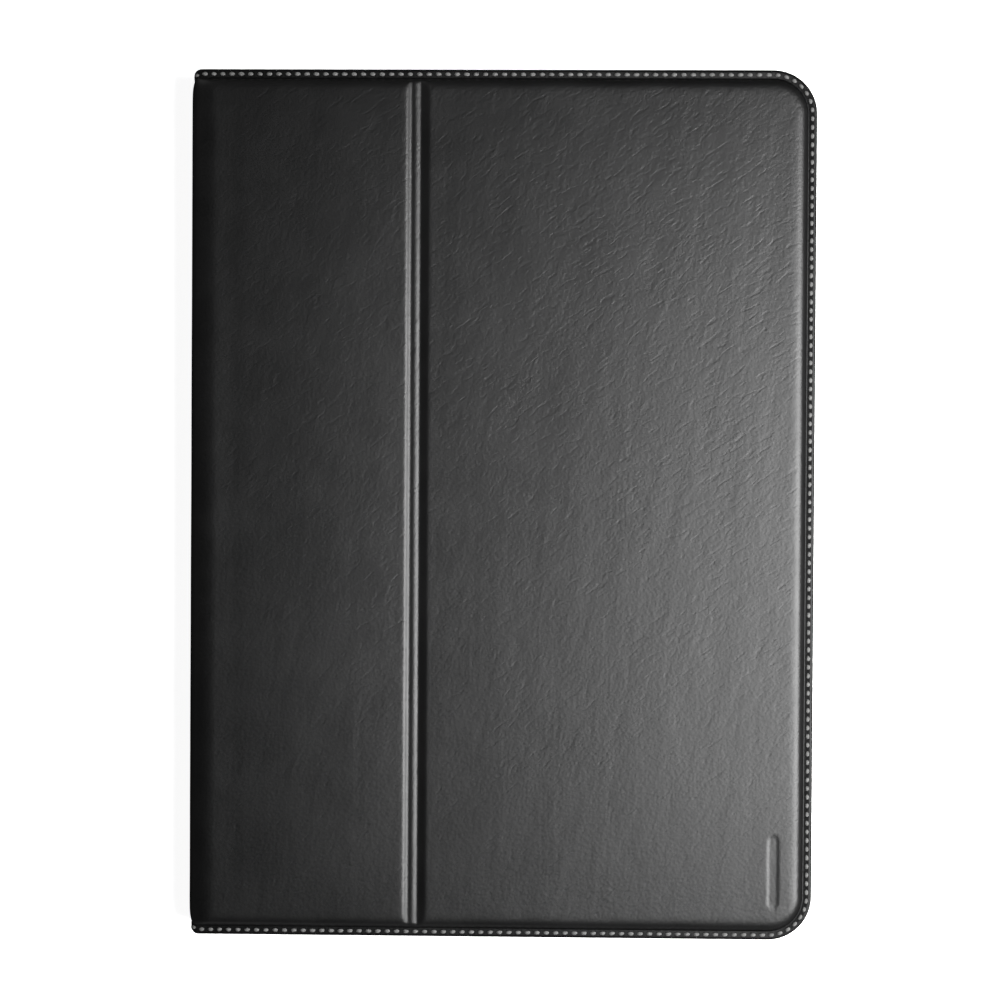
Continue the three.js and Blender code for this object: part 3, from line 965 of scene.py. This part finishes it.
class Look(Steps):
    """One procedural material, whose textures follow the object's own coordinates."""

    def __init__(self, name, colour, roughness, **more):
        self.material = bpy.data.materials.new(name)
        self.material.use_nodes = True
        super().__init__(self.material.node_tree)
        self.surface = self.tree.nodes["Principled BSDF"]
        self.surface.inputs["Base Color"].default_value = (*colour, 1)
        self.surface.inputs["Roughness"].default_value = roughness
        for key, value in more.items():
            self.surface.inputs[key.replace("_", " ")].default_value = value
        self.place = self.node("ShaderNodeTexCoord").outputs["Object"]
        self.bump = None

    def drawn_out(self, length, angle):
        """Places for a texture whose marks are that much longer at that angle from the X axis."""
        turn = (0, 0, math.radians(angle))
        values = {"Vector": self.place, "Rotation": turn, "Scale": (length, 1, 1)}
        return self.node("ShaderNodeMapping", values, vector_type="TEXTURE").outputs[0]

    def noise(self, scale, detail=3, roughness=0.5, distortion=0.0, place=None):
        return self.node(
            "ShaderNodeTexNoise",
            {
                "Vector": place or self.place,
                "Scale": scale,
                "Detail": detail,
                "Roughness": roughness,
                "Distortion": distortion,
            },
        ).outputs["Fac"]

    def raise_by(self, height, distance, strength=1.0):
        values = {"Height": height, "Distance": distance * MM, "Strength": strength}
        if self.bump is not None:
            values["Normal"] = self.bump
        self.bump = self.node("ShaderNodeBump", values).outputs[0]
        self.tree.links.new(self.bump, self.surface.inputs["Normal"])

    def vary(self, socket, value, low, high):
        self.tree.links.new(self.ramp(value, 0.3, 0.7, low, high), self.surface.inputs[socket])

    def tint(self, value, dark, light):
        values = {0: value, 6: (*dark, 1), 7: (*light, 1)}
        mix = self.node("ShaderNodeMix", values, data_type="RGBA")
        self.tree.links.new(mix.outputs[2], self.surface.inputs["Base Color"])


def leather_look():
    look = Look("leather", (0.003, 0.003, 0.003), 0.4)
    grain = look.node(
        "ShaderNodeTexVoronoi",
        {"Vector": look.place, "Scale": 1150.0, "Smoothness": 0.6},
        feature="SMOOTH_F1",
    ).outputs["Distance"]
    look.raise_by(grain, 0.025)
    look.raise_by(look.noise(2600, 2), 0.005)
    places = {0: look.place, 1: MOST_CREASED}
    away = look.node("ShaderNodeVectorMath", places, operation="DISTANCE")
    near = look.ramp(away.outputs["Value"], 0.01, 0.11, 0.16, 0.0)
    uneven = look.math("ADD", look.noise(50, 2, 0.5, 0.5), near)
    cluster = look.ramp(uneven, 0.42, 0.75, 0.3, 0.48)
    pit = look.ramp(look.noise(760, 1, 0.5, 0.5, look.drawn_out(3.2, 35)), 0.5, 0.8)
    look.raise_by(look.math("MULTIPLY", pit, cluster), -0.06)
    crease = look.noise(330, 1, 0.5, 0.6, look.drawn_out(3.0, 30))
    look.raise_by(look.math("MULTIPLY", crease, cluster), 0.075)
    look.raise_by(look.noise(90, 3, 0.5, 0.4, look.drawn_out(7, 88)), 0.1)
    look.raise_by(look.noise(230, 2, 0.5, 0.6, look.drawn_out(2.6, 72)), 0.055)
    mottle = look.noise(70, 4, 0.6, 0.3)
    look.vary("Roughness", mottle, 0.41, 0.44)
    look.tint(look.ramp(mottle, 0.35, 0.7), (0.0022, 0.0022, 0.0023), (0.0032, 0.0032, 0.0033))
    sheen = look.ramp(from_corner_centres(look), *SEWN_BAND, 0.5, 0.18)
    look.tree.links.new(sheen, look.surface.inputs["Specular IOR Level"])
    return look.material


def from_corner_centres(look):
    """Distance outward from the lines that join the centres of the case's rounded corners.

    It is greatest along the sewn edges, which are duller than the padded leather.
    """
    split = look.node("ShaderNodeSeparateXYZ", {0: look.place}).outputs
    across = look.math("SUBTRACT", split["X"], (FREE_EDGE - CORNER) * MM)
    along = look.math("SUBTRACT", look.math("ABSOLUTE", split["Y"]), (HALF - CORNER) * MM)
    sides = {0: look.math("MAXIMUM", across, 0.0), 1: look.math("MAXIMUM", along, 0.0)}
    beyond = look.node("ShaderNodeCombineXYZ", sides).outputs[0]
    return look.node("ShaderNodeVectorMath", {0: beyond}, operation="LENGTH").outputs["Value"]


def suede_look():
    look = Look("suede", (0.03, 0.03, 0.032), 0.95, Sheen_Weight=0.4, Sheen_Roughness=0.5)
    look.raise_by(look.noise(2200, 3, 0.6), 0.08)
    brushed = look.noise(45, 3, 0.5, 0.8)
    look.tint(look.ramp(brushed, 0.35, 0.65), (0.024, 0.024, 0.026), (0.04, 0.04, 0.042))
    return look.material


def thread_look():
    look = Look("thread", (0.16, 0.16, 0.157), 0.75)
    ply = look.node(
        "ShaderNodeTexWave",
        {"Vector": look.drawn_out(1, 38), "Scale": 900.0, "Distortion": 1.0, "Detail": 1.0},
    ).outputs["Fac"]
    look.raise_by(ply, 0.03)
    look.tint(look.noise(600, 2), (0.12, 0.12, 0.118), (0.2, 0.2, 0.196))
    return look.material


def foam_look():
    look = Look("foam", (0.045, 0.045, 0.047), 1.0)
    values = {"Vector": look.place, "Scale": 1400.0}
    cells = look.node("ShaderNodeTexVoronoi", values).outputs["Distance"]
    look.raise_by(cells, 0.2)
    look.tint(cells, (0.02, 0.02, 0.022), (0.07, 0.07, 0.072))
    return look.material


def board_look():
    look = Look("board", (0.2, 0.17, 0.13), 0.9)
    fibre = look.noise(500, 5, 0.65, 0.2, look.drawn_out(3.3, 90))
    look.raise_by(fibre, 0.03)
    look.tint(fibre, (0.13, 0.11, 0.085), (0.27, 0.23, 0.18))
    return look.material


def moulding_look():
    look = Look("moulding", (0.012, 0.012, 0.013), 0.42)
    look.raise_by(look.noise(2400, 2), 0.012)
    look.vary("Roughness", look.noise(60, 3), 0.38, 0.48)
    return look.material


def adhesive_look():
    look = Look("adhesive", (0.6, 0.58, 0.5), 0.6)
    look.raise_by(look.noise(700, 3), 0.02)
    return look.material


def magnet_look():
    look = Look("magnet", (0.55, 0.56, 0.58), 0.28, Metallic=1.0)
    look.raise_by(look.noise(900, 3, 0.6, 0.0, look.drawn_out(5, 90)), 0.004)
    return look.material


LOOKS = {
    "leather": leather_look(),
    "lining": suede_look(),
    "thread": thread_look(),
    "foam": foam_look(),
    "board": board_look(),
    "moulding": moulding_look(),
    "adhesive": adhesive_look(),
    "magnet": magnet_look(),
}


def finish_piece(made, slot):
    made.data.materials.clear()
    made.data.materials.append(LOOKS[slot])


# ---- What rides on what ----

for piece, slot, nodes in (
    (front_skin, "leather", ["hinge_panel_skin", "front_panel_skin"]),
    (front_spine_skin, "leather", ["spine_skin"]),
    (back_spine_skin, "leather", []),
    (back_skin, "leather", ["back_skin"]),
    (flap_leather, "leather", ["tuck_flap_skin", "tuck_flap_hem"]),
    (front_lining, "lining", ["hinge_panel_lining", "front_panel_lining"]),
    (front_spine_lining, "lining", ["spine_lining"]),
    (back_spine_lining, "lining", []),
    (back_lining, "lining", ["back_lining"]),
    (flap_cloth, "lining", ["tuck_flap_lining"]),
    (tray_cloth, "lining", ["tray_pad"]),
    (hinge_foam, "foam", []),
    (front_foam, "foam", []),
    (back_foam, "foam", []),
    (
        front_thread,
        "thread",
        ["front_panel_seam", "hinge_panel_seam_top", "hinge_panel_seam_bottom"],
    ),
    (back_thread, "thread", ["back_seam"]),
    (front_spine_thread, "thread", ["spine_seam_top", "spine_seam_bottom"]),
    (back_spine_thread, "thread", []),
    (flap_thread, "thread", []),
    (hem_thread, "thread", []),
):
    finish_piece(piece, slot)
    if nodes:
        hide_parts(*nodes)

CAD_SLOTS = {
    "board": [
        "back_board",
        "spine_board",
        "hinge_panel_board",
        "front_panel_board",
        "tuck_flap_stiffener",
    ],
    "moulding": ["tablet_tray"],
    "adhesive": [f"tray_bond_pad_{i}" for i in (1, 2, 3, 4)],
    "magnet": ["closure_magnet_1", "closure_magnet_2", "closure_magnet_3", "wake_magnet"],
}
CAD_BEVEL = 0.22
for slot, names in CAD_SLOTS.items():
    for name in names:
        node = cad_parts[name]
        finish_piece(node, slot)
        if slot != "adhesive":
            bevel = node.modifiers.new("softened_edges", "BEVEL")
            bevel.width = CAD_BEVEL * MM
            bevel.segments = 2
            bevel.limit_method = "ANGLE"
            bevel.angle_limit = math.radians(50)


for piece in (front_skin, front_lining, front_thread):
    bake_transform(piece)
for piece in (front_spine_skin, front_spine_thread):
    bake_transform(piece)
for piece in (back_spine_skin, back_spine_thread):
    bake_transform(piece)
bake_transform(front_spine_lining)
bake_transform(back_spine_lining)
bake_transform(flap_leather)
for piece in (back_skin, back_lining, back_thread, back_foam, tray_cloth, hem_thread):
    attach(piece, "back_cover")
for piece in (flap_cloth, flap_thread):
    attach(piece, "tuck_flap")
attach(hinge_foam, "hinge_panel")
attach(front_foam, "front_panel")

# ---- Floor, light and camera ----

PALE = 0.9
SOFTBOX = {
    "place": (0.265, -0.05, 0.36),
    "aim": (0.06, -0.01, 0.018),
    "size": (0.34, 0.33),
    "power": 1.04,
    "spread": 62,
}
# Where the camera stands, in metres, and its turn from looking straight down, in degrees.
EYE_PLACE = (0.0155, 0.0121, 0.6905)
EYE_TURN = (-0.909, 1.35, 0.337)


def pale_stage(name):
    """The newest object as a pale surface that the camera sees and that lights nothing."""
    made = bpy.context.object
    made.name = name
    glow = {"Emission_Color": (1, 1, 1, 1), "Emission_Strength": PALE}
    look = Look(f"pale_{name}", (PALE, PALE, PALE), 0.9, **glow)
    made.data.materials.append(look.material)
    made.visible_glossy = False
    made.visible_diffuse = False
    return made


def make_stage():
    """A floor just under the case, so that the two don't share a plane, inside a pale sphere."""
    bpy.ops.mesh.primitive_circle_add(
        vertices=96, radius=6.0, fill_type="NGON", location=(0, 0, -0.0002)
    )
    pale_stage("floor")
    bpy.ops.mesh.primitive_uv_sphere_add(segments=64, ring_count=32, radius=6.2)
    pale_stage("backdrop").visible_shadow = False


def add_softbox():
    light = bpy.data.lights.new("softbox", "AREA")
    light.shape = "RECTANGLE"
    light.size, light.size_y = SOFTBOX["size"]
    light.energy = SOFTBOX["power"]
    light.spread = math.radians(SOFTBOX["spread"])
    lamp = bpy.data.objects.new("softbox", light)
    lamp.location = SOFTBOX["place"]
    toward = Vector(SOFTBOX["aim"]) - Vector(SOFTBOX["place"])
    lamp.rotation_euler = toward.to_track_quat("-Z", "Y").to_euler()
    bpy.context.scene.collection.objects.link(lamp)


def add_camera():
    eye = bpy.data.cameras.new("eye")
    eye.lens = 85
    eye.sensor_width = 36
    eye.clip_start = 0.01
    stand = bpy.data.objects.new("eye", eye)
    stand.location = EYE_PLACE
    stand.rotation_euler = [math.radians(a) for a in EYE_TURN]
    bpy.context.scene.collection.objects.link(stand)
    bpy.context.scene.camera = stand


def make_world():
    """Soft light from low down all round, and more of it from two sides.

    It is strongest from the free edge and the front, with a soft patch behind the spine.
    """
    world = bpy.data.worlds.new("studio")
    world.use_nodes = True
    steps = Steps(world.node_tree)
    direction = steps.node("ShaderNodeTexCoord").outputs["Generated"]

    def toward(side):
        values = {0: direction, 1: side}
        made = steps.node("ShaderNodeVectorMath", values, operation="DOT_PRODUCT")
        return made.outputs["Value"]

    upright = steps.node("ShaderNodeSeparateXYZ", {0: direction}).outputs["Z"]
    height = steps.math("ABSOLUTE", upright)
    low_light = steps.ramp(height, 0.05, 0.45, 1.0, 0.0)
    side_light = steps.ramp(toward((0.7, -0.7, 0)), -0.5, 1.0, 0.0, 0.4)
    fill = steps.ramp(height, 0.1, 0.6, 0.07, 0.01)
    both = steps.math("MULTIPLY_ADD", low_light, side_light, fill)
    behind = steps.ramp(toward((-0.66, 0.66, 0.36)), 0.86, 0.98, 0.0, 0.6)
    background = world.node_tree.nodes["Background"]
    background.inputs["Color"].default_value = (1, 1, 1, 1)
    every = steps.math("ADD", both, behind)
    world.node_tree.links.new(every, background.inputs["Strength"])
    bpy.context.scene.world = world


make_stage()
make_world()
add_softbox()
add_camera()
bpy.context.scene.view_settings.view_transform = "Standard"
